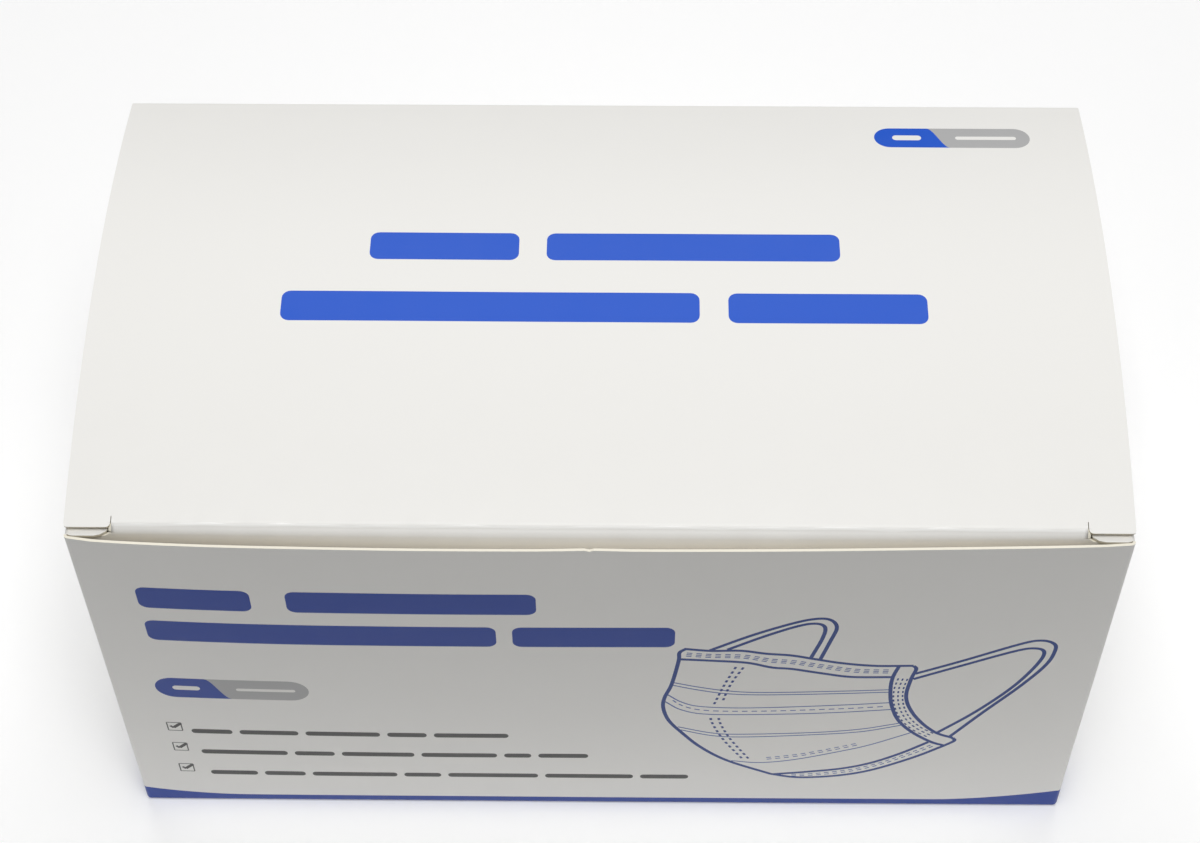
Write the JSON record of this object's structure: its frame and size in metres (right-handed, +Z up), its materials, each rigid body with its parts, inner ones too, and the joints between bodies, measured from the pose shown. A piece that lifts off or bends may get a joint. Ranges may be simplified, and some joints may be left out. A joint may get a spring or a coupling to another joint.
{
  "type": "folding carton for face masks",
  "caption": "Closed paperboard folding carton with a crowned tuck-in lid, dust flaps and a glued bottom, for flat-folded face masks.",
  "frame": {"origin": "centre of the underside of the base", "axes": "+X to the right along the front, +Y from the front panel to the back panel, +Z up through the lid"},
  "size_m": [0.1836, 0.1042, 0.1024],
  "materials": {
    "printed_board": "white clay-coated paperboard with a satin varnish and blue, grey and dark print",
    "plain_board": "white clay-coated paperboard with a satin varnish, unprinted",
    "board_inside": "matt cream uncoated back of the paperboard"
  },
  "bodies": {
    "carton": {"front_panel": "printed_board", "back_panel": "printed_board", "side_panel_left": "printed_board", "side_panel_right": "printed_board", "glue_flap": "board_inside", "bottom_panel": "printed_board", "bottom_inner_panel": "board_inside", "bottom_side_flap_left": "board_inside", "bottom_side_flap_right": "board_inside"},
    "lid": {"lid_panel": "printed_board"},
    "tuck_flap": {"tuck_flap": "plain_board"},
    "dust_flap_left": {"dust_flap_left": "plain_board"},
    "dust_flap_right": {"dust_flap_right": "plain_board"}
  },
  "joints": [
    {"name": "lid_hinge", "type": "hinge", "parent": "carton", "child": "lid", "pos_m": [0, 0.05, 0.096], "axis": [-1, 0, 0], "range_deg": [0, 200]},
    {"name": "tuck_hinge", "type": "hinge", "parent": "lid", "child": "tuck_flap", "pos_m": [0, -0.0482, 0.09504], "axis": [-1, 0, 0], "range_deg": [0, 50]},
    {"name": "dust_hinge_left", "type": "hinge", "parent": "carton", "child": "dust_flap_left", "pos_m": [-0.091, 0, 0.0952], "axis": [0, -1, 0], "range_deg": [0, 90]},
    {"name": "dust_hinge_right", "type": "hinge", "parent": "carton", "child": "dust_flap_right", "pos_m": [0.091, 0, 0.0952], "axis": [0, 1, 0], "range_deg": [0, 90]}
  ],
  "couplings": [
    {"joint": "tuck_hinge", "follows": "lid_hinge", "ratio": 0.25},
    {"joint": "dust_hinge_left", "follows": "lid_hinge", "ratio": 0.45},
    {"joint": "dust_hinge_right", "follows": "lid_hinge", "ratio": 0.45}
  ]
}
